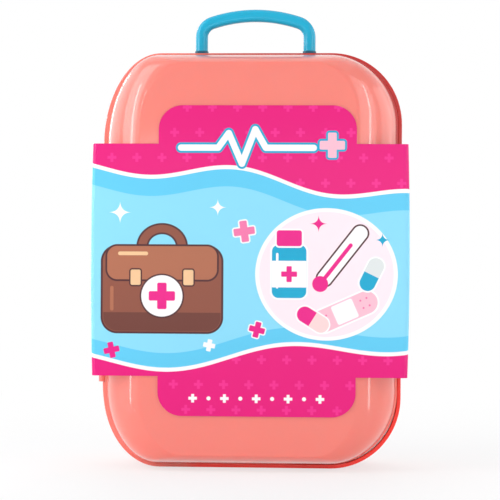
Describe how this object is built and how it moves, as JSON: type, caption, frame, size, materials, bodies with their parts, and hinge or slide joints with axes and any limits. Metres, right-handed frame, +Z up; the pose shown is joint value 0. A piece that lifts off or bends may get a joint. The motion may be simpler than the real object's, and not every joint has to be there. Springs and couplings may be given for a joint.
{
  "type": "toy doctor case",
  "caption": "Upright plastic play case with hinged lid, side latch, top handle, inner tray, lid basket, hook rail, play doctor tools and card sleeve.",
  "frame": {"origin": "middle of the whole object's footprint, on the surface that it stands on", "axes": "+Z up towards the carry handle, -Y towards the lid's face, +X towards the latch"},
  "size_m": [0.2384, 0.104, 0.3543],
  "materials": {
    "shell": "gloss moulded",
    "trim": "gloss moulded",
    "pin": "drawn wire",
    "tray": "vacuum formed",
    "sleeve": "printed gloss card",
    "tool": "gloss moulded",
    "tool_dark": "gloss moulded",
    "tool_pink": "gloss moulded",
    "clear": "translucent",
    "seal": "matt",
    "screen": "gloss label"
  },
  "bodies": {
    "base": {"base_shell": "shell", "carry_handle": "trim", "hinge_pin_lower": "pin", "hinge_pin_upper": "pin", "latch_pin": "pin", "tray": "tray", "scissors_fixed_half": "tool_dark", "scissors_rivet": "tool", "syringe_barrel": "clear", "scalpel": "tool_pink", "tweezers": "tool_pink", "monitor_body": "tool", "monitor_screen": "screen", "dropper_bottle": "tool_pink"},
    "lid": {"lid_shell": "shell", "basket": "trim", "hook_rail": "trim"},
    "latch": {"latch_lever": "trim"},
    "sleeve_rear": {"sleeve_back": "sleeve"},
    "sleeve_fore": {"sleeve_front": "sleeve"},
    "scissors_blade": {"scissors_moving_half": "tool_dark"},
    "plunger": {"syringe_plunger": "tray", "syringe_seal": "seal"},
    "knob": {"monitor_knob": "tool_pink"},
    "cap": {"dropper_cap": "tool"}
  },
  "joints": [
    {"name": "lid_hinge", "type": "hinge", "parent": "base", "child": "lid", "pos_m": [-0.1153, -0.017, 0.16], "axis": [0, 0, -1], "range_deg": [0, 110]},
    {"name": "latch_turn", "type": "hinge", "parent": "base", "child": "latch", "pos_m": [0.115, -0.009, 0.16], "axis": [0, 0, 1], "range_deg": [0, 140]},
    {"name": "sleeve_rear_slide", "type": "slide", "parent": "base", "child": "sleeve_rear", "axis": [0, 0, 1], "range_m": [0, 0.315]},
    {"name": "sleeve_fore_slide", "type": "slide", "parent": "lid", "child": "sleeve_fore", "axis": [0, 0, 1], "range_m": [0, 0.315]},
    {"name": "scissors_pivot", "type": "hinge", "parent": "base", "child": "scissors_blade", "pos_m": [0.072, -0.02, 0.206], "axis": [0, 1, 0], "range_deg": [0, 25]},
    {"name": "plunger_press", "type": "slide", "parent": "base", "child": "plunger", "axis": [0, 1, 0], "range_m": [0, 0.024]},
    {"name": "knob_turn", "type": "hinge", "parent": "base", "child": "knob", "pos_m": [-0.0508, -0.033, 0.1692], "axis": [0, -1, 0], "range_deg": [0, 270]},
    {"name": "cap_pull", "type": "slide", "parent": "base", "child": "cap", "axis": [0, 0, 1], "range_m": [0, 0.012]}
  ],
  "couplings": [
    {"joint": "sleeve_fore_slide", "follows": "sleeve_rear_slide", "ratio": 1}
  ]
}
